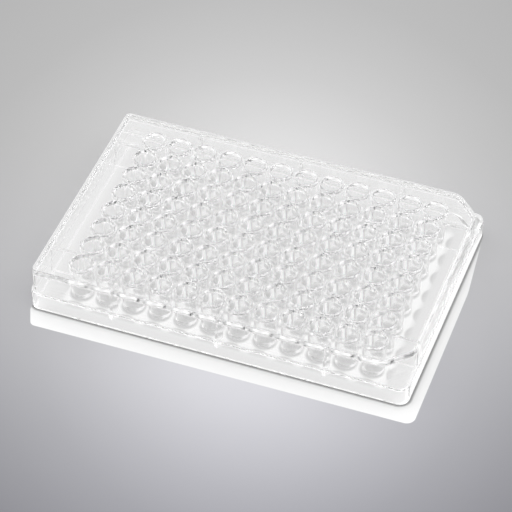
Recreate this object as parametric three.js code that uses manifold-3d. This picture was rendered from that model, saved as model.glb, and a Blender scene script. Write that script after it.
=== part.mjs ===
// A 96-well microplate in clear polystyrene, moulded as one piece.
//
// Millimetres. +X runs along the twelve columns, +Y points to row A, +Z is up.
// The origin lies on the resting plane, under the middle of the well array.

import * as THREE from 'three';
import { mergeGeometries, mergeVertices } from 'three/addons/utils/BufferGeometryUtils.js';
import Module from 'manifold-3d';

// Well array. The standard footprint is set by the pitch and by the place of well A1.
const COLUMNS = 12;
const ROWS = 8;
const WELL_PITCH = 9;
const A1_TO_END = 14.38;
const A1_TO_SIDE = 11.24;

// One well: a raised ring on the deck, a rounded way in, and a tapered tube below.
const RING_GAP = 0.6;
const RING_LIP = 0.35;
const RING_RISE = 0.5;
const LEAD_IN = 0.4;
const WELL_TAPER = 0.25;
const TUBE_WALL_AT_DECK = 0.65;
const TUBE_WALL_AT_FLOOR = 0.5;
const FLOOR_THICKNESS = 1.3;
const TUBE_CLEARANCE = 1.85;

// Skirt: the wide foot that robots grip, closed above by a narrow ledge.
const SKIRT_HEIGHT = 6.6;
const SKIRT_WALL = 1.3;
const SKIRT_CORNER_RADIUS = 3.4;
const SKIRT_EDGE_RADIUS = 0.4;
const LEDGE_THICKNESS = 1.2;

// Upper body: a thin upright wall, set in from the skirt, with two cut corners.
const BODY_RISE = 8.6;
const BODY_WALL = 1.15;
const BODY_DRAFT = 0.15;
const END_LEDGE = 0.45;
const SIDE_LEDGE = 1.8;
const BODY_CORNER_RADIUS = 1.8;
const CORNER_CUT = 8.2;
const CORNER_CUT_RADIUS = 6.4;
const RIM_EDGE_RADIUS = 0.3;

// Deck: the plate that carries the wells, sunk below the rim.
const RIM_WIDTH = 1.1;
const DECK_DROP = 1.15;
const DECK_THICKNESS = 1.5;

// Stiffening ribs from the deck's margin down to just above the resting plane.
const RIB_THICKNESS = 1.0;
const RIB_CLEARANCE = 2.2;
const RIB_TO_WELL_LINE = 3.9;
const END_RIB_ROWS = [0.5, 6.5];
const SIDE_RIB_COLUMNS = [1.5, 5.5, 9.5];

// Facets of the round forms.
const WELL_FACETS = 8;
const CORNER_FACET_TURN = Math.PI / 8;
const EDGE_FACETS = 2;
const SMALLEST_RADIUS = 0.3;
const CUT_OVERSHOOT = 1;

// Plan sizes.
const ARRAY_LENGTH = (COLUMNS - 1) * WELL_PITCH;
const ARRAY_WIDTH = (ROWS - 1) * WELL_PITCH;
const FOOT_LENGTH = ARRAY_LENGTH + 2 * A1_TO_END;
const FOOT_WIDTH = ARRAY_WIDTH + 2 * A1_TO_SIDE;
const BODY_LENGTH = FOOT_LENGTH - 2 * END_LEDGE;
const BODY_WIDTH = FOOT_WIDTH - 2 * SIDE_LEDGE;

// Levels, from the resting plane up.
const LEDGE_UNDERSIDE = SKIRT_HEIGHT - LEDGE_THICKNESS;
const RIM_TOP = SKIRT_HEIGHT + BODY_RISE;
const DECK_TOP = RIM_TOP - DECK_DROP;
const DECK_UNDERSIDE = DECK_TOP - DECK_THICKNESS;
const DECK_MIDDLE = (DECK_TOP + DECK_UNDERSIDE) / 2;
const RING_TOP = DECK_TOP + RING_RISE;
const WELL_FLOOR = TUBE_CLEARANCE + FLOOR_THICKNESS;

// Radii of one well.
const RING_RADIUS = (WELL_PITCH - RING_GAP) / 2;
const MOUTH_RADIUS = RING_RADIUS - RING_LIP - LEAD_IN;
const FLOOR_RADIUS = MOUTH_RADIUS - WELL_TAPER;
const TUBE_RADIUS_AT_DECK = MOUTH_RADIUS + TUBE_WALL_AT_DECK;
const TUBE_RADIUS_AT_FLOOR = FLOOR_RADIUS + TUBE_WALL_AT_FLOOR;

const wasm = await Module();
wasm.setup();

const plateMaterial = new THREE.MeshStandardMaterial({
  color: 0xf2f6f7,
  roughness: 0.06,
  metalness: 0,
  transparent: true,
  opacity: 0.35,
});

// ---- Solids: three.js geometry in and out of the boolean library ----

function toSolid(geometry) {
  geometry.deleteAttribute('normal');
  geometry.deleteAttribute('uv');
  const merged = mergeVertices(geometry);
  const vertProperties = new Float32Array(merged.attributes.position.array);
  const triVerts = new Uint32Array(merged.index.array);
  return new wasm.Manifold(new wasm.Mesh({ numProp: 3, vertProperties, triVerts }));
}

function toGeometry(solid) {
  const mesh = solid.getMesh();
  const geometry = new THREE.BufferGeometry();
  geometry.setAttribute('position', new THREE.BufferAttribute(mesh.vertProperties, 3));
  geometry.setIndex(new THREE.BufferAttribute(mesh.triVerts, 1));
  geometry.computeVertexNormals();
  return geometry;
}

// ---- Outlines: convex polygons with rounded corners, listed anticlockwise ----

function inwardOffset(previous, corner, inset) {
  const along = new THREE.Vector2(corner.x - previous.x, corner.y - previous.y).normalize();
  return { along, shift: new THREE.Vector2(-along.y, along.x).multiplyScalar(inset) };
}

// The corner point that stays when both edges at a corner move inwards by the inset.
function insetCorner(corners, index, inset) {
  const count = corners.length;
  const corner = corners[index];
  const before = inwardOffset(corners[(index + count - 1) % count], corner, inset);
  const after = inwardOffset(corner, corners[(index + 1) % count], inset);
  const between = before.along.cross(after.along);
  const reach = (after.shift.x - before.shift.x) * after.along.y
    - (after.shift.y - before.shift.y) * after.along.x;
  return new THREE.Vector2(corner.x, corner.y)
    .add(before.shift)
    .addScaledVector(before.along, reach / between);
}

function roundedCorner(previous, point, next, radius) {
  const back = previous.clone().sub(point);
  const ahead = next.clone().sub(point);
  const halfAngle = Math.abs(back.angleTo(ahead)) / 2;
  const longest = Math.min(back.length(), ahead.length()) / 2;
  const tangent = Math.min(radius / Math.tan(halfAngle), longest);
  const fitted = tangent * Math.tan(halfAngle);
  const toCentre = back.normalize().add(ahead.normalize()).normalize();
  const centre = point.clone().addScaledVector(toCentre, fitted / Math.sin(halfAngle));
  const sweep = Math.PI - 2 * halfAngle;
  const start = toCentre.negate().angle() - sweep / 2;
  const facets = Math.round(sweep / CORNER_FACET_TURN);
  return Array.from({ length: facets + 1 }, (_, step) => {
    const angle = start + (sweep * step) / facets;
    return new THREE.Vector2(Math.cos(angle), Math.sin(angle)).multiplyScalar(fitted).add(centre);
  });
}

function outline(corners, inset = 0) {
  const points = corners.map((corner, index) => insetCorner(corners, index, inset));
  const count = points.length;
  return corners.flatMap((corner, index) => roundedCorner(
    points[(index + count - 1) % count],
    points[index],
    points[(index + 1) % count],
    Math.max(corner.radius - inset, SMALLEST_RADIUS),
  ));
}

function skirtCorners() {
  const x = FOOT_LENGTH / 2;
  const y = FOOT_WIDTH / 2;
  const radius = SKIRT_CORNER_RADIUS;
  return [[-x, -y], [x, -y], [x, y], [-x, y]].map(([cx, cy]) => ({ x: cx, y: cy, radius }));
}

// Column 1's corners are square and column 12's are cut at 45 degrees.
function bodyCorners() {
  const x = BODY_LENGTH / 2;
  const y = BODY_WIDTH / 2;
  const square = BODY_CORNER_RADIUS;
  const blend = CORNER_CUT_RADIUS;
  return [
    { x: -x, y: -y, radius: square },
    { x: x - CORNER_CUT, y: -y, radius: blend },
    { x, y: -y + CORNER_CUT, radius: blend },
    { x, y: y - CORNER_CUT, radius: blend },
    { x: x - CORNER_CUT, y, radius: blend },
    { x: -x, y, radius: square },
  ];
}

// ---- Forms ----

// A closed solid through sections of equal point counts, each at its own height.
function loft(sections) {
  const count = sections[0].points.length;
  const positions = sections.flatMap(({ points, z }) => points.flatMap((point) => [point.x, point.y, z]));
  const indices = [];
  for (let level = 1; level < sections.length; level += 1) {
    for (let i = 0; i < count; i += 1) {
      const low = (level - 1) * count;
      const high = level * count;
      const next = (i + 1) % count;
      indices.push(low + i, low + next, high + next);
      indices.push(low + i, high + next, high + i);
    }
  }
  const top = (sections.length - 1) * count;
  for (const [a, b, c] of THREE.ShapeUtils.triangulateShape(sections[0].points, [])) {
    indices.push(c, b, a);
    indices.push(top + a, top + b, top + c);
  }
  const geometry = new THREE.BufferGeometry();
  geometry.setAttribute('position', new THREE.Float32BufferAttribute(positions, 3));
  geometry.setIndex(indices);
  return toSolid(geometry);
}

// Sections that round off a block's top edge.
function roundedTop(corners, inset, top, radius) {
  return Array.from({ length: EDGE_FACETS + 1 }, (_, step) => {
    const angle = (Math.PI / 2) * (step / EDGE_FACETS);
    return {
      points: outline(corners, inset + radius * (1 - Math.cos(angle))),
      z: top - radius * (1 - Math.sin(angle)),
    };
  });
}

function prism(corners, inset, bottom, top) {
  return loft([{ points: outline(corners, inset), z: bottom }, { points: outline(corners, inset), z: top }]);
}

function wellCentres() {
  const centres = [];
  for (let row = 0; row < ROWS; row += 1) {
    for (let column = 0; column < COLUMNS; column += 1) {
      centres.push([columnX(column), rowY(row)]);
    }
  }
  return centres;
}

function columnX(column) {
  return column * WELL_PITCH - ARRAY_LENGTH / 2;
}

function rowY(row) {
  return ARRAY_WIDTH / 2 - row * WELL_PITCH;
}

// One profile of [radius, height] points, turned about the axis of every well.
function turnedAtEveryWell(profile) {
  const points = profile.map(([radius, height]) => new THREE.Vector2(radius, height));
  const turned = new THREE.LatheGeometry(points, WELL_FACETS).rotateX(Math.PI / 2);
  const copies = wellCentres().map(([x, y]) => turned.clone().translate(x, y, 0));
  return toSolid(mergeGeometries(copies));
}

function wellPosts() {
  return turnedAtEveryWell([
    [0, TUBE_CLEARANCE],
    [TUBE_RADIUS_AT_FLOOR, TUBE_CLEARANCE],
    [TUBE_RADIUS_AT_DECK, DECK_MIDDLE],
    [RING_RADIUS, DECK_MIDDLE],
    [RING_RADIUS, RING_TOP],
    [0, RING_TOP],
  ]);
}

function wellBores() {
  return turnedAtEveryWell([
    [0, WELL_FLOOR],
    [FLOOR_RADIUS, WELL_FLOOR],
    [MOUTH_RADIUS, RING_TOP - LEAD_IN],
    [MOUTH_RADIUS + LEAD_IN, RING_TOP],
    [MOUTH_RADIUS + LEAD_IN, RING_TOP + CUT_OVERSHOOT],
    [0, RING_TOP + CUT_OVERSHOOT],
  ]);
}

// The wall is solid from the skirt up to the rim, then hollowed from below and from above.
function shell() {
  const skirt = skirtCorners();
  const body = bodyCorners();
  const skirtBlock = loft([
    { points: outline(skirt), z: 0 },
    ...roundedTop(skirt, 0, SKIRT_HEIGHT, SKIRT_EDGE_RADIUS),
  ]);
  const bodyBlock = loft([
    { points: outline(body), z: LEDGE_UNDERSIDE },
    ...roundedTop(body, BODY_DRAFT, RIM_TOP, RIM_EDGE_RADIUS),
  ]);
  const skirtHollow = prism(skirt, SKIRT_WALL, -CUT_OVERSHOOT, LEDGE_UNDERSIDE);
  const bodyHollow = prism(body, BODY_WALL, LEDGE_UNDERSIDE - CUT_OVERSHOOT, DECK_UNDERSIDE);
  const deckRecess = prism(body, BODY_DRAFT + RIM_WIDTH, DECK_TOP, RIM_TOP + CUT_OVERSHOOT);
  return skirtBlock.add(bodyBlock).subtract(skirtHollow).subtract(bodyHollow).subtract(deckRecess);
}

function block(xRange, yRange, zRange) {
  const ends = [0, 1].map((end) => new THREE.Vector3(xRange[end], yRange[end], zRange[end]));
  const box = new THREE.Box3().setFromPoints(ends);
  const size = box.getSize(new THREE.Vector3());
  const middle = box.getCenter(new THREE.Vector3());
  return toSolid(new THREE.BoxGeometry(size.x, size.y, size.z).translate(middle.x, middle.y, middle.z));
}

// Each rib runs from inside the upright wall to a free edge beside the outermost wells.
function ribs() {
  const heights = [RIB_CLEARANCE, DECK_MIDDLE];
  const half = RIB_THICKNESS / 2;
  const endReach = [ARRAY_LENGTH / 2 + RIB_TO_WELL_LINE, BODY_LENGTH / 2 - BODY_WALL / 2];
  const sideReach = [ARRAY_WIDTH / 2 + RIB_TO_WELL_LINE, BODY_WIDTH / 2 - BODY_WALL / 2];
  const made = [];
  for (const side of [-1, 1]) {
    for (const row of END_RIB_ROWS) {
      const y = rowY(row);
      made.push(block(endReach.map((x) => side * x), [y - half, y + half], heights));
    }
    for (const column of SIDE_RIB_COLUMNS) {
      const x = columnX(column);
      made.push(block([x - half, x + half], sideReach.map((y) => side * y), heights));
    }
  }
  return made;
}

function wellPlate() {
  const moulding = ribs().reduce((whole, rib) => whole.add(rib), shell().add(wellPosts()));
  const mesh = new THREE.Mesh(toGeometry(moulding.subtract(wellBores())), plateMaterial);
  mesh.name = 'well_plate';
  return mesh;
}

const plate = new THREE.Group();
plate.add(wellPlate());

export default plate;
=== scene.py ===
"""A clear moulded 96-well plate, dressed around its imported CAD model, in a plain pale studio."""

import math

import bmesh
import bpy
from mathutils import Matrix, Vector
from mathutils.geometry import tessellate_polygon

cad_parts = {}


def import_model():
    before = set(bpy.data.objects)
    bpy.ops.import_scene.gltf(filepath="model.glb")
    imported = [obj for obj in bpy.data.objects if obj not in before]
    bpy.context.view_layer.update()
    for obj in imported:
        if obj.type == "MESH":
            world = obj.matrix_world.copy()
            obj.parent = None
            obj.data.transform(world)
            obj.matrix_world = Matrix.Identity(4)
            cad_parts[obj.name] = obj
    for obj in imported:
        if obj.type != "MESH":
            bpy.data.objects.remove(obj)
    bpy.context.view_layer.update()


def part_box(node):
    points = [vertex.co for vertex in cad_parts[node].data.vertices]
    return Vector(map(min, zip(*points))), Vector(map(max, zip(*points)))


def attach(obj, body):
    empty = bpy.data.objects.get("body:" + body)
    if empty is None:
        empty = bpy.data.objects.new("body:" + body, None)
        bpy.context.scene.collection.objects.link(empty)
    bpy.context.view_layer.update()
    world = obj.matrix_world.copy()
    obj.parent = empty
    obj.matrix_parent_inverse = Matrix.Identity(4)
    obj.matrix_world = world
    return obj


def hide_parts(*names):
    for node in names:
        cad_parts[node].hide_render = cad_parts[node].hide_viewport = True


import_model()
PLATE_LOW, PLATE_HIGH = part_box("well_plate")

MM = 0.001

# ---- Sizes of the plate, in millimetres ----

# Well array.
COLUMNS = 12
ROWS = 8
WELL_PITCH = 9.0
ARRAY_LENGTH = (COLUMNS - 1) * WELL_PITCH
ARRAY_WIDTH = (ROWS - 1) * WELL_PITCH

# Overall sizes come from the imported model's box.
FOOT_LENGTH = (PLATE_HIGH[0] - PLATE_LOW[0]) / MM
FOOT_WIDTH = (PLATE_HIGH[1] - PLATE_LOW[1]) / MM
RIM_TOP = PLATE_HIGH[2] / MM

# Skirt.
SKIRT_HEIGHT = 6.6
SKIRT_WALL = 1.3
SKIRT_CORNER_RADIUS = 3.4
SKIRT_EDGE = 0.4
LEDGE_THICKNESS = 1.2
LEDGE_UNDERSIDE = SKIRT_HEIGHT - LEDGE_THICKNESS

# Upper body.
BODY_WALL = 1.15
BODY_DRAFT = 0.15
END_LEDGE = 0.45
SIDE_LEDGE = 1.8
BODY_CORNER_RADIUS = 1.8
CORNER_CUT = 8.2
CORNER_CUT_RADIUS = 6.4
RIM_EDGE = 0.3
BODY_LENGTH = FOOT_LENGTH - 2 * END_LEDGE
BODY_WIDTH = FOOT_WIDTH - 2 * SIDE_LEDGE

# Deck.
RIM_WIDTH = 1.1
RIM_RISE = 1.15
DECK_THICKNESS = 1.5
DECK_TOP = RIM_TOP - RIM_RISE
DECK_UNDERSIDE = DECK_TOP - DECK_THICKNESS
DECK_MIDDLE = (DECK_TOP + DECK_UNDERSIDE) / 2
RECESS_FILLET = 0.35
HOLLOW_FILLET = 0.4

# One well.
RING_RISE = 0.5
RING_TOP = DECK_TOP + RING_RISE
RING_RADIUS = 4.2
RING_EDGE = 0.2
RING_FILLET = 0.15
MOUTH_RADIUS = 3.45
LEAD_IN = 0.4
FLOOR_RADIUS = 3.2
TUBE_BOTTOM = 1.85
FLOOR_THICKNESS = 1.3
WELL_FLOOR = TUBE_BOTTOM + FLOOR_THICKNESS
FLOOR_CORNER = 0.35
TUBE_RADIUS_AT_DECK = 4.1
TUBE_RADIUS_AT_FLOOR = 3.7
TUBE_FILLET = 0.3
TUBE_CORNER = 0.4

# Ribs.
RIB_THICKNESS = 1.0
RIB_CLEARANCE = 2.2
RIB_TO_WELL_LINE = 3.9
END_RIB_ROWS = (0.5, 6.5)
SIDE_RIB_COLUMNS = (1.5, 5.5, 9.5)

# Fineness: steps round a well, the turn in one step of an outline's corner, and the steps across
# a tiny, a small and any other rounded edge.
WELL_STEPS = 40
CORNER_STEP = math.radians(7.5)
TINY_EDGE_STEPS = 2
SMALL_EDGE_STEPS = 3
EDGE_STEPS = 4
SMALLEST_RADIUS = 0.3
MERGE_DISTANCE = 0.0001
SHARP_ANGLE = math.radians(32)
NORMAL_WEIGHT = 80

# ---- Camera ----

CAMERA_AZIMUTH = math.radians(20.19)
CAMERA_ELEVATION = math.radians(44.08)
CAMERA_DISTANCE = 843 * MM
CAMERA_TARGET = Vector((-0.76, -2.24, 7.0)) * MM
CAMERA_LENS = 182.0
SENSOR_WIDTH = 36.0
CLIP_START = 0.01

# ---- Plastic ----

WHITE = (1, 1, 1, 1)
PLASTIC_IOR = 1.59
# The least and the most of each, where the moulded surface varies. Its pattern's scale is in
# waves a metre.
ROUGHNESS = (0.02, 0.08)
HAZE = (0.0, 0.018)
HAZE_COLOUR = (0.99, 0.99, 1, 1)
FLOW_SCALE = 90.0
FLOW_DETAIL = 3.0
BODY_TINT = (0.0, 0.02, 0.04, 1)
BODY_DENSITY = 1.2

# ---- Floor and reflection card as the camera sees them, in tones where 1 is white ----

# The sky's light on a level surface. Tones are divided by it, so that they render as written.
FLOOR_LIGHT = 1.36
# The share of the floor's brightness that doesn't take the plate's shadow.
FLOOR_GLOW = 0.45
FLOOR_GLOSS = 0.0
REFLECTION_CARD_GLOSS = 0.06
MIRROR_ROUGHNESS = 0.05

# The painted pool of light by distance from its centre, and the ground under it, painted brighter
# further away, by distance away from the camera, both in millimetres. The pool is longer than it is
# wide.
POOL_CENTRE = (0.0, -10.0)
POOL_STRETCH = 1.44
POOL = (
    (0, 0.66), (20, 0.578), (45, 0.383), (60, 0.277),
    (75, 0.192), (90, 0.134), (110, 0.072), (140, 0.033),
)
GROUND = ((-140, 0.139), (-70, 0.248), (0, 0.391), (80, 0.43), (180, 0.451))

# The floor's colour, which has more blue towards the camera, by distance away in millimetres.
FLOOR_RED = 0.9895
FLOOR_GREEN = 0.987
FLOOR_BLUE = ((-130, 1.083), (0, 1.010), (60, 0.990), (160, 0.990))

# The reflection card's tones by distance from the skirt, in millimetres: a thin painted contact shadow
# at the skirt's foot, then a white band that is the skirt's painted reflection.
CONTACT_SHADOW_AND_REFLECTION_TONES = ((0, 0.25), (0.5, 0.38), (1.1, 0.91), (2.5, 1.03), (8, 1.09))

# The reflection card's corners and their radii, and where the floor and the card lie under the plate's
# foot, in millimetres. The card reaches out from the foot towards the camera, where the skirt's
# reflection is painted on it.
REFLECTION_CARD_CORNERS = [
    (-63.2, -43.5, 2), (-60.3, -50.1, 2), (68.1, -49.3, 3), (67.4, 12, 20), (64.0, 42, 3), (-63, 42, 3)
]
REFLECTION_CARD_HEIGHT = -0.02
FLOOR_HEIGHT = -0.04
FLOOR_REACH = 3000.0

# ---- Floor and reflection card as the plate sees them: light panels ----

# Brightness outside the array by distance in millimetres, within it by distance from the nearest
# well's place, which lies a little beside the well's axis, and the change from one to the other.
PANEL_MARGIN = ((0, 0.76), (6, 0.80), (8.5, 0.87), (10.5, 1.2))
PANEL_CELL = ((0, 0.50), (1, 0.50), (2.8, 0.58), (3.6, 0.60), (4.4, 0.96))
PANEL_CELL_PLACE = (-0.7, 0.8)
PANEL_BLEND = ((0, 0.0), (2, 1.0))
# Brightness beyond the reflection card, by distance in millimetres from a place beside a cut corner.
PANEL_FAR = ((0, 0.45), (6, 0.45), (10, 0.83))
PANEL_FAR_PLACE = (68.0, 49.0)

# ---- Sky ----

# Brightness by turn from the camera's side, in degrees, low down and half way up, and the one
# value at the top. Each height is in degrees above the horizon.
SKY_LOW = ((-180, 1.0), (-120, 1.7), (-60, 1.0), (0, 0.9), (60, 1.4), (120, 1.5), (180, 1.0))
SKY_MIDDLE = ((-180, 0.8), (-120, 1.9), (-60, 0.9), (0, 1.4), (60, 2.1), (120, 1.3), (180, 0.8))
SKY_TOP = 1.5
SKY_HEIGHTS = (12, 42, 75)

# ---- Limits on bounces: light passes many clear walls ----

BOUNCES = 1024
TRANSPARENT_BOUNCES = 16


# ---- Outlines: convex polygons with rounded corners, anticlockwise, in millimetres ----

def inset_corner(corners, index, inset):
    here = Vector(corners[index][:2])
    before = (here - Vector(corners[index - 1][:2])).normalized()
    after = (Vector(corners[(index + 1) % len(corners)][:2]) - here).normalized()
    shift_before = Vector((-before.y, before.x)) * inset
    shift_after = Vector((-after.y, after.x)) * inset
    step = shift_after - shift_before
    reach = step.cross(after) / before.cross(after)
    return here + shift_before + before * reach


def rounded_corner(previous, point, following, radius):
    back = (previous - point).normalized()
    ahead = (following - point).normalized()
    half_angle = back.angle(ahead) / 2
    to_centre = (back + ahead).normalized()
    centre = point + to_centre * (radius / math.sin(half_angle))
    sweep = math.pi - 2 * half_angle
    start = math.atan2(-to_centre.y, -to_centre.x) - sweep / 2
    steps = round(sweep / CORNER_STEP)
    angles = [start + sweep * i / steps for i in range(steps + 1)]
    return [centre + Vector((math.cos(a), math.sin(a))) * radius for a in angles]


def outline(corners, inset=0.0):
    points = [inset_corner(corners, i, inset) for i in range(len(corners))]
    rounded = []
    for i, corner in enumerate(corners):
        radius = max(corner[2] - inset, SMALLEST_RADIUS)
        rounded += rounded_corner(points[i - 1], points[i], points[(i + 1) % len(points)], radius)
    return rounded


def skirt_corners():
    x, y, radius = FOOT_LENGTH / 2, FOOT_WIDTH / 2, SKIRT_CORNER_RADIUS
    return [(-x, -y, radius), (x, -y, radius), (x, y, radius), (-x, y, radius)]


def body_corners():
    """Column 1's corners are square and column 12's are cut at 45 degrees."""
    x, y = BODY_LENGTH / 2, BODY_WIDTH / 2
    square, blend = BODY_CORNER_RADIUS, CORNER_CUT_RADIUS
    return [
        (-x, -y, square),
        (x - CORNER_CUT, -y, blend),
        (x, -y + CORNER_CUT, blend),
        (x, y - CORNER_CUT, blend),
        (x - CORNER_CUT, y, blend),
        (-x, y, square),
    ]


# ---- Surface: closed loops of points, skinned to each other and merged where they meet ----

class Surface:
    def __init__(self):
        self.vertices = []
        self.faces = []

    def loop(self, points):
        start = len(self.vertices)
        self.vertices += points
        return range(start, len(self.vertices))

    def skin(self, loops):
        """Quads from each loop to the next; all loops have as many points."""
        rows = [self.loop(points) for points in loops]
        for low, high in zip(rows, rows[1:]):
            for i in range(len(low)):
                j = (i + 1) % len(low)
                self.faces.append((low[i], low[j], high[j], high[i]))

    def disc(self, points, centre):
        row = self.loop(points)
        hub = self.loop([centre])[0]
        for i in range(len(row)):
            self.faces.append((row[i], row[(i + 1) % len(row)], hub))

    def flat(self, outer, inner):
        """Triangles between an outer loop and the loop inside it."""
        start = self.loop(outer + inner)[0]
        for triangle in tessellate_polygon([[Vector(p) for p in outer], [Vector(p) for p in inner]]):
            self.faces.append(tuple(start + i for i in triangle))

    def build(self, name):
        mesh = bpy.data.meshes.new(name)
        mesh.from_pydata([tuple(v * MM for v in vertex) for vertex in self.vertices], [], self.faces)
        bm = bmesh.new()
        bm.from_mesh(mesh)
        bmesh.ops.remove_doubles(bm, verts=bm.verts, dist=MERGE_DISTANCE * MM)
        bmesh.ops.recalc_face_normals(bm, faces=bm.faces)
        bm.to_mesh(mesh)
        bm.free()
        obj = bpy.data.objects.new(name, mesh)
        bpy.context.scene.collection.objects.link(obj)
        return obj


def level(points, z):
    return [(p.x, p.y, z) for p in points]


def arc(centre, radius, start, end, steps):
    """Points of a profile on a circle about (across, height), between two angles in degrees."""
    angles = [math.radians(start + (end - start) * i / steps) for i in range(steps + 1)]
    return [(centre[0] + radius * math.cos(a), centre[1] + radius * math.sin(a)) for a in angles]


# ---- Wells ----

def column_x(column):
    return column * WELL_PITCH - ARRAY_LENGTH / 2


def row_y(row):
    return ARRAY_WIDTH / 2 - row * WELL_PITCH


WELL_ANGLES = [2 * math.pi * i / WELL_STEPS for i in range(WELL_STEPS)]


def circle(x, y, radius, z):
    return [(x + radius * math.cos(a), y + radius * math.sin(a), z) for a in WELL_ANGLES]


def cell_edge(x, y, z):
    """Points on the square cell round a well, at the angles of the well's own circles."""
    reaches = [WELL_PITCH / 2 / max(abs(math.cos(a)), abs(math.sin(a))) for a in WELL_ANGLES]
    return [(x + r * math.cos(a), y + r * math.sin(a), z) for r, a in zip(reaches, WELL_ANGLES)]


def ring_and_bore():
    """Profile from the deck, over the ring, down the bore to the edge of the flat floor."""
    foot = (RING_RADIUS + RING_FILLET, DECK_TOP + RING_FILLET)
    crest = (RING_RADIUS - RING_EDGE, RING_TOP - RING_EDGE)
    mouth = (MOUTH_RADIUS + LEAD_IN, RING_TOP - LEAD_IN)
    corner = (FLOOR_RADIUS - FLOOR_CORNER, WELL_FLOOR + FLOOR_CORNER)
    profile = arc(foot, RING_FILLET, 270, 180, TINY_EDGE_STEPS)
    profile += arc(crest, RING_EDGE, 0, 90, SMALL_EDGE_STEPS)
    profile += arc(mouth, LEAD_IN, 90, 180, EDGE_STEPS)
    profile += arc(corner, FLOOR_CORNER, 0, -90, TINY_EDGE_STEPS)
    return profile


def tube():
    """Profile from the deck's underside down the tube to the edge of its flat bottom."""
    root = (TUBE_RADIUS_AT_DECK + TUBE_FILLET, DECK_UNDERSIDE - TUBE_FILLET)
    corner = (TUBE_RADIUS_AT_FLOOR - TUBE_CORNER, TUBE_BOTTOM + TUBE_CORNER)
    profile = arc(root, TUBE_FILLET, 90, 180, SMALL_EDGE_STEPS)
    profile += arc(corner, TUBE_CORNER, 0, -90, TINY_EDGE_STEPS)
    return profile


def add_well(surface, x, y):
    for deck, profile in ((DECK_TOP, ring_and_bore()), (DECK_UNDERSIDE, tube())):
        loops = [cell_edge(x, y, deck)] + [circle(x, y, radius, z) for radius, z in profile]
        surface.skin(loops)
        surface.disc(loops[-1], (x, y, profile[-1][1]))


def cell_stations(count):
    """Places along one side of the array where the cells' edges have their points."""
    half = WELL_PITCH / 2
    slopes = [math.tan(a - math.pi / 4) for a in WELL_ANGLES[:WELL_STEPS // 4]]
    centres = [(i - (count - 1) / 2) * WELL_PITCH for i in range(count)]
    stations = [centre + half * slope for centre in centres for slope in slopes]
    return stations + [centres[-1] + half]


def array_edge(z):
    """The loop round all the cells, anticlockwise."""
    x, y = COLUMNS * WELL_PITCH / 2, ROWS * WELL_PITCH / 2
    along, across = cell_stations(COLUMNS), cell_stations(ROWS)
    front = [(s, -y, z) for s in along[:-1]]
    right = [(x, s, z) for s in across[:-1]]
    rear = [(s, y, z) for s in reversed(along[1:])]
    left = [(-x, s, z) for s in reversed(across[1:])]
    return front + right + rear + left


# ---- Skirt, upper body and deck margins, in profiles of (inset, height) ----

def loops_along(corners, profile):
    """One loop for each point of a profile."""
    return [level(outline(corners, inset), z) for inset, z in profile]


def rim_profile():
    """From the deck up over the rim and down the body's outside to the ledge."""
    recess = BODY_DRAFT + RIM_WIDTH
    crest = RIM_TOP - RIM_EDGE
    fillet = (recess + RECESS_FILLET, DECK_TOP + RECESS_FILLET)
    profile = arc(fillet, RECESS_FILLET, 270, 180, EDGE_STEPS)
    profile += arc((recess - RIM_EDGE, crest), RIM_EDGE, 0, 90, EDGE_STEPS)
    profile += arc((BODY_DRAFT + RIM_EDGE, crest), RIM_EDGE, 90, 180, EDGE_STEPS)
    return profile + [(0, SKIRT_HEIGHT)]


def skirt_profile():
    """From the ledge over the skirt's edge, down its outside and up its inside."""
    edge = (SKIRT_EDGE, SKIRT_HEIGHT - SKIRT_EDGE)
    profile = arc(edge, SKIRT_EDGE, 90, 180, EDGE_STEPS)
    return profile + [(0, 0), (SKIRT_WALL, 0), (SKIRT_WALL, LEDGE_UNDERSIDE)]


def hollow_profile():
    """From the ledge's underside up the body's inside to the deck's underside."""
    fillet = (BODY_WALL + HOLLOW_FILLET, DECK_UNDERSIDE - HOLLOW_FILLET)
    return [(BODY_WALL, LEDGE_UNDERSIDE)] + arc(fillet, HOLLOW_FILLET, 180, 90, EDGE_STEPS)


def add_shell(surface):
    rim = loops_along(body_corners(), rim_profile())
    skirt = loops_along(skirt_corners(), skirt_profile())
    hollow = loops_along(body_corners(), hollow_profile())
    surface.flat(rim[0], array_edge(DECK_TOP))
    surface.skin(rim)
    surface.flat(skirt[0], rim[-1])
    surface.skin(skirt)
    surface.flat(skirt[-1], hollow[0])
    surface.skin(hollow)
    surface.flat(hollow[-1], array_edge(DECK_UNDERSIDE))


# ---- Ribs ----

def block(x_range, y_range, z_range):
    (x0, x1), (y0, y1), (z0, z1) = sorted(x_range), sorted(y_range), sorted(z_range)
    corners = [(x0, y0), (x1, y0), (x1, y1), (x0, y1)]
    made = Surface()
    low, high = [[(x, y, z) for x, y in corners] for z in (z0, z1)]
    made.skin([low, high])
    made.faces += [tuple(made.loop(low)), tuple(made.loop(high))]
    return made.build("rib")


def ribs():
    heights = (RIB_CLEARANCE, DECK_MIDDLE)
    half = RIB_THICKNESS / 2
    end_reach = (ARRAY_LENGTH / 2 + RIB_TO_WELL_LINE, BODY_LENGTH / 2 - BODY_WALL / 2)
    side_reach = (ARRAY_WIDTH / 2 + RIB_TO_WELL_LINE, BODY_WIDTH / 2 - BODY_WALL / 2)
    made = []
    for side in (-1, 1):
        for row in END_RIB_ROWS:
            y = row_y(row)
            made.append(block([side * x for x in end_reach], (y - half, y + half), heights))
        for column in SIDE_RIB_COLUMNS:
            x = column_x(column)
            made.append(block((x - half, x + half), [side * y for y in side_reach], heights))
    return made


def fuse(target, tool):
    modifier = target.modifiers.new("fuse", "BOOLEAN")
    modifier.operation = "UNION"
    modifier.solver = "MANIFOLD"
    modifier.object = tool
    depsgraph = bpy.context.evaluated_depsgraph_get()
    fused = bpy.data.meshes.new_from_object(target.evaluated_get(depsgraph), depsgraph=depsgraph)
    target.modifiers.clear()
    target.data = fused
    bpy.data.objects.remove(tool)


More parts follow.
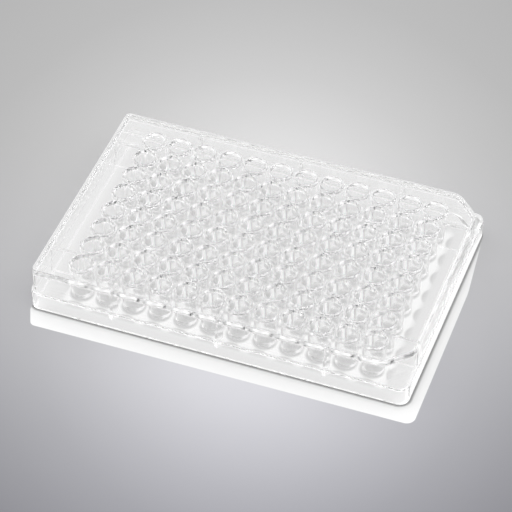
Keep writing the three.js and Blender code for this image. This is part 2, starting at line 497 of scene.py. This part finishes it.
def plate():
    surface = Surface()
    add_shell(surface)
    for row in range(ROWS):
        for column in range(COLUMNS):
            add_well(surface, column_x(column), row_y(row))
    made = surface.build("moulded_plate")
    for rib in ribs():
        fuse(made, rib)
    made.data.shade_smooth()
    made.data.set_sharp_from_angle(angle=SHARP_ANGLE)
    weighted = made.modifiers.new("weighted", "WEIGHTED_NORMAL")
    weighted.keep_sharp = True
    weighted.weight = NORMAL_WEIGHT
    return made


# ---- Nodes ----

def node_material(name):
    material = bpy.data.materials.new(name)
    material.use_nodes = True
    tree = material.node_tree
    tree.nodes.clear()
    output = tree.nodes.new("ShaderNodeOutputMaterial")
    return material, tree, output


def fill(tree, socket, value):
    """Link the socket to another one, or set its own value."""
    if isinstance(value, bpy.types.NodeSocket):
        tree.links.new(value, socket)
    else:
        socket.default_value = value


def put(tree, kind, named=None, **settings):
    """A node with its named inputs, its attributes, and its inputs by number: i0, i1 and so on."""
    node = tree.nodes.new(kind)
    for name, value in settings.items():
        if name[0] == "i" and name[1:].isdigit():
            fill(tree, node.inputs[int(name[1:])], value)
        else:
            setattr(node, name, value)
    for name, value in (named or {}).items():
        fill(tree, node.inputs[name], value)
    return node


def calculate(tree, operation, *values):
    numbered = {f"i{i}": value for i, value in enumerate(values)}
    return put(tree, "ShaderNodeMath", operation=operation, **numbered).outputs[0]


def vector(tree, operation, first, second=(0, 0, 0)):
    node = put(tree, "ShaderNodeVectorMath", operation=operation, i0=first, i1=second)
    return node.outputs["Value" if operation in ("LENGTH", "DISTANCE") else "Vector"]


def parts_of(tree, place):
    return put(tree, "ShaderNodeSeparateXYZ", i0=place).outputs


def between(tree, share, least_and_most):
    least, most = least_and_most
    return put(tree, "ShaderNodeMapRange", i0=share, i3=least, i4=most).outputs[0]


def share_of(tree, value, low, high):
    """0 at the low value and 1 at the high one."""
    return put(tree, "ShaderNodeMapRange", i0=value, i1=float(low), i2=float(high)).outputs[0]


def mixed_shader(tree, share, first, second):
    return put(tree, "ShaderNodeMixShader", i0=share, i1=first, i2=second).outputs[0]


def mixed_value(tree, share, first, second):
    return put(tree, "ShaderNodeMix", i0=share, i2=first, i3=second).outputs[0]


def stepped(tree, value, stops):
    """A tone that follows the stops (value, tone), straight between them."""
    low, high = stops[0][0], stops[-1][0]
    brightest = float(max(tone for _, tone in stops))
    ramp = put(tree, "ShaderNodeValToRGB", i0=share_of(tree, value, low, high))
    elements = ramp.color_ramp.elements
    for _ in stops[2:]:
        elements.new(0.5)
    for element, (at, tone) in zip(elements, stops):
        element.position = (at - low) / (high - low)
        element.color = [tone / brightest] * 3 + [1]
    return calculate(tree, "MULTIPLY", ramp.outputs[0], brightest)


# ---- Places, in millimetres ----

def position(tree):
    return put(tree, "ShaderNodeNewGeometry").outputs["Position"]


def floor_place(tree):
    """Across and away, in millimetres, as seen from the camera's side."""
    turned = put(
        tree,
        "ShaderNodeMapping",
        vector_type="TEXTURE",
        i0=position(tree),
        i2=(0, 0, CAMERA_AZIMUTH),
        i3=(MM, MM, MM),
    )
    return parts_of(tree, turned.outputs[0])


def distance_outside(tree, half):
    """Distance in millimetres outside a rectangle about the origin, given by its half sizes."""
    inner = (half[0] * MM, half[1] * MM, 1.0)
    beyond = vector(tree, "SUBTRACT", vector(tree, "ABSOLUTE", position(tree)), inner)
    distance = vector(tree, "LENGTH", vector(tree, "MAXIMUM", beyond))
    return calculate(tree, "DIVIDE", distance, MM)


def distance_to_well(tree):
    """Distance in millimetres from the nearest well, at the place given beside its axis."""
    half = WELL_PITCH / 2
    squares = 0.0
    coordinates = parts_of(tree, position(tree))
    for coordinate, reach, aside in zip(coordinates, (ARRAY_LENGTH, ARRAY_WIDTH), PANEL_CELL_PLACE):
        in_mm = calculate(tree, "DIVIDE", coordinate, MM)
        from_first = calculate(tree, "ADD", in_mm, reach / 2 - aside)
        away = calculate(tree, "WRAP", from_first, -half, half)
        squares = calculate(tree, "MULTIPLY_ADD", away, away, squares)
    return calculate(tree, "SQRT", squares)


# ---- Plastic ----

def clear_polystyrene():
    """Clear moulded plastic: glass-like, with a faint haze and slightly uneven surfaces."""
    material, tree, output = node_material("clear_polystyrene")
    place = put(tree, "ShaderNodeTexCoord").outputs["Object"]
    noise = {"Vector": place, "Scale": FLOW_SCALE, "Detail": FLOW_DETAIL}
    flow = put(tree, "ShaderNodeTexNoise", noise).outputs[0]
    glass = put(tree, "ShaderNodeBsdfPrincipled", {
        "Base Color": WHITE,
        "IOR": PLASTIC_IOR,
        "Transmission Weight": 1.0,
        "Roughness": between(tree, flow, ROUGHNESS),
    }).outputs[0]
    let_through = put(tree, "ShaderNodeBsdfTranslucent", {"Color": HAZE_COLOUR}).outputs[0]
    sent_back = put(tree, "ShaderNodeBsdfDiffuse", {"Color": HAZE_COLOUR}).outputs[0]
    haze = mixed_shader(tree, 0.5, let_through, sent_back)
    surface = mixed_shader(tree, between(tree, flow, HAZE), glass, haze)
    tree.links.new(surface, output.inputs["Surface"])
    body = put(tree, "ShaderNodeVolumeAbsorption", {"Color": BODY_TINT, "Density": BODY_DENSITY})
    tree.links.new(body.outputs[0], output.inputs["Volume"])
    return material


# ---- Floor and card ----

def floor_colour(tree):
    """A pale painted pool of light on a ground painted brighter far away, a little blue near by."""
    across, away, _ = floor_place(tree)
    from_side = calculate(tree, "SUBTRACT", across, POOL_CENTRE[0])
    from_front = calculate(tree, "SUBTRACT", away, POOL_CENTRE[1])
    squeezed = calculate(tree, "DIVIDE", from_front, POOL_STRETCH)
    square = calculate(tree, "MULTIPLY", squeezed, squeezed)
    distance = calculate(tree, "SQRT", calculate(tree, "MULTIPLY_ADD", from_side, from_side, square))
    total = calculate(tree, "ADD", stepped(tree, distance, POOL), stepped(tree, away, GROUND))
    tone = calculate(tree, "DIVIDE", total, FLOOR_LIGHT)
    colour = put(tree, "ShaderNodeCombineXYZ")
    for i, part in enumerate((FLOOR_RED, FLOOR_GREEN, stepped(tree, away, FLOOR_BLUE))):
        tree.links.new(calculate(tree, "MULTIPLY", tone, part), colour.inputs[i])
    return colour.outputs[0]


def reflection_card_colour(tree):
    """The skirt's painted reflection: white, with a thin painted contact shadow where the skirt
    stands.
    """
    half = (FOOT_LENGTH / 2 - SKIRT_CORNER_RADIUS, FOOT_WIDTH / 2 - SKIRT_CORNER_RADIUS)
    from_skirt = calculate(tree, "SUBTRACT", distance_outside(tree, half), SKIRT_CORNER_RADIUS)
    return calculate(tree, "DIVIDE", stepped(tree, from_skirt, CONTACT_SHADOW_AND_REFLECTION_TONES), FLOOR_LIGHT)


def panel_near(tree):
    """Bright under the margins and between the wells, less bright under each well."""
    half = [(reach + WELL_PITCH) / 2 for reach in (ARRAY_LENGTH, ARRAY_WIDTH)]
    outside = distance_outside(tree, half)
    margin = stepped(tree, outside, PANEL_MARGIN)
    cell = stepped(tree, distance_to_well(tree), PANEL_CELL)
    return mixed_value(tree, stepped(tree, outside, PANEL_BLEND), cell, margin)


def panel_far(tree):
    """Even, and less bright beside one cut corner."""
    place = [part * MM for part in PANEL_FAR_PLACE] + [0]
    distance = vector(tree, "DISTANCE", position(tree), place)
    return stepped(tree, calculate(tree, "DIVIDE", distance, MM), PANEL_FAR)


def matt(name, colour_of, gloss, panel_of):
    """A matt surface to the camera; a light panel to what stands on it."""
    material, tree, output = node_material(name)
    colour = colour_of(tree)
    shaded = put(tree, "ShaderNodeBsdfDiffuse", i0=colour).outputs[0]
    glowing = put(tree, "ShaderNodeEmission", i0=colour, i1=FLOOR_LIGHT).outputs[0]
    mirror = put(tree, "ShaderNodeBsdfAnisotropic", {"Roughness": MIRROR_ROUGHNESS}).outputs[0]
    surface = mixed_shader(tree, gloss, mixed_shader(tree, FLOOR_GLOW, shaded, glowing), mirror)
    panel = put(tree, "ShaderNodeEmission", i0=WHITE, i1=panel_of(tree)).outputs[0]
    seen = put(tree, "ShaderNodeLightPath").outputs["Is Camera Ray"]
    tree.links.new(mixed_shader(tree, seen, panel, surface), output.inputs["Surface"])
    return material


def sheet(name, points, height, material):
    mesh = bpy.data.meshes.new(name)
    mesh.from_pydata([(p[0] * MM, p[1] * MM, 0) for p in points], [], [tuple(range(len(points)))])
    obj = bpy.data.objects.new(name, mesh)
    mesh.materials.append(material)
    obj.location.z = height * MM
    bpy.context.scene.collection.objects.link(obj)


def floor():
    far = FLOOR_REACH
    corners = [(-far, -far), (far, -far), (far, far), (-far, far)]
    sheet("floor", corners, FLOOR_HEIGHT, matt("studio_floor", floor_colour, FLOOR_GLOSS, panel_far))
    # The reflection card: a white sheet with the skirt's reflection and its contact shadow painted on
    # it.
    reflection_card = matt("painted_reflection_card", reflection_card_colour, REFLECTION_CARD_GLOSS, panel_near)
    sheet("reflection_card", outline(REFLECTION_CARD_CORNERS), REFLECTION_CARD_HEIGHT, reflection_card)


# ---- Sky, camera and render settings ----

def turn_and_height(tree):
    """Where in the sky, in degrees: the turn from the camera's side, and the height."""
    x, y, z = parts_of(tree, put(tree, "ShaderNodeTexCoord").outputs["Generated"])
    azimuth = calculate(tree, "ARCTAN2", x, calculate(tree, "MULTIPLY", y, -1.0))
    from_camera = calculate(tree, "SUBTRACT", azimuth, CAMERA_AZIMUTH)
    turn = calculate(tree, "DEGREES", calculate(tree, "WRAP", from_camera, -math.pi, math.pi))
    return turn, calculate(tree, "DEGREES", calculate(tree, "ARCSINE", z))


def world():
    made = bpy.data.worlds.new("studio")
    bpy.context.scene.world = made
    made.use_nodes = True
    tree = made.node_tree
    turn, height = turn_and_height(tree)
    low, middle, top = SKY_HEIGHTS
    rise = share_of(tree, height, low, middle)
    lower = mixed_value(tree, rise, stepped(tree, turn, SKY_LOW), stepped(tree, turn, SKY_MIDDLE))
    total = mixed_value(tree, share_of(tree, height, middle, top), lower, SKY_TOP)
    background = tree.nodes["Background"]
    background.inputs["Color"].default_value = WHITE
    tree.links.new(total, background.inputs["Strength"])


def camera():
    data = bpy.data.cameras.new("camera")
    data.lens = CAMERA_LENS
    data.sensor_width = SENSOR_WIDTH
    data.clip_start = CLIP_START
    obj = bpy.data.objects.new("camera", data)
    across = math.cos(CAMERA_ELEVATION)
    back = Vector((
        math.sin(CAMERA_AZIMUTH) * across,
        -math.cos(CAMERA_AZIMUTH) * across,
        math.sin(CAMERA_ELEVATION),
    ))
    obj.location = CAMERA_TARGET + back * CAMERA_DISTANCE
    obj.rotation_euler = (-back).to_track_quat("-Z", "Y").to_euler()
    bpy.context.scene.collection.objects.link(obj)
    bpy.context.scene.camera = obj


def render_settings():
    scene = bpy.context.scene
    scene.view_settings.view_transform = "Standard"
    scene.cycles.max_bounces = BOUNCES
    scene.cycles.transmission_bounces = BOUNCES
    scene.cycles.glossy_bounces = BOUNCES
    scene.cycles.diffuse_bounces = BOUNCES
    scene.cycles.transparent_max_bounces = TRANSPARENT_BOUNCES


render_settings()
camera()
world()
floor()
moulded = plate()
moulded.data.materials.clear()
moulded.data.materials.append(clear_polystyrene())
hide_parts("well_plate")
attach(moulded, "root")
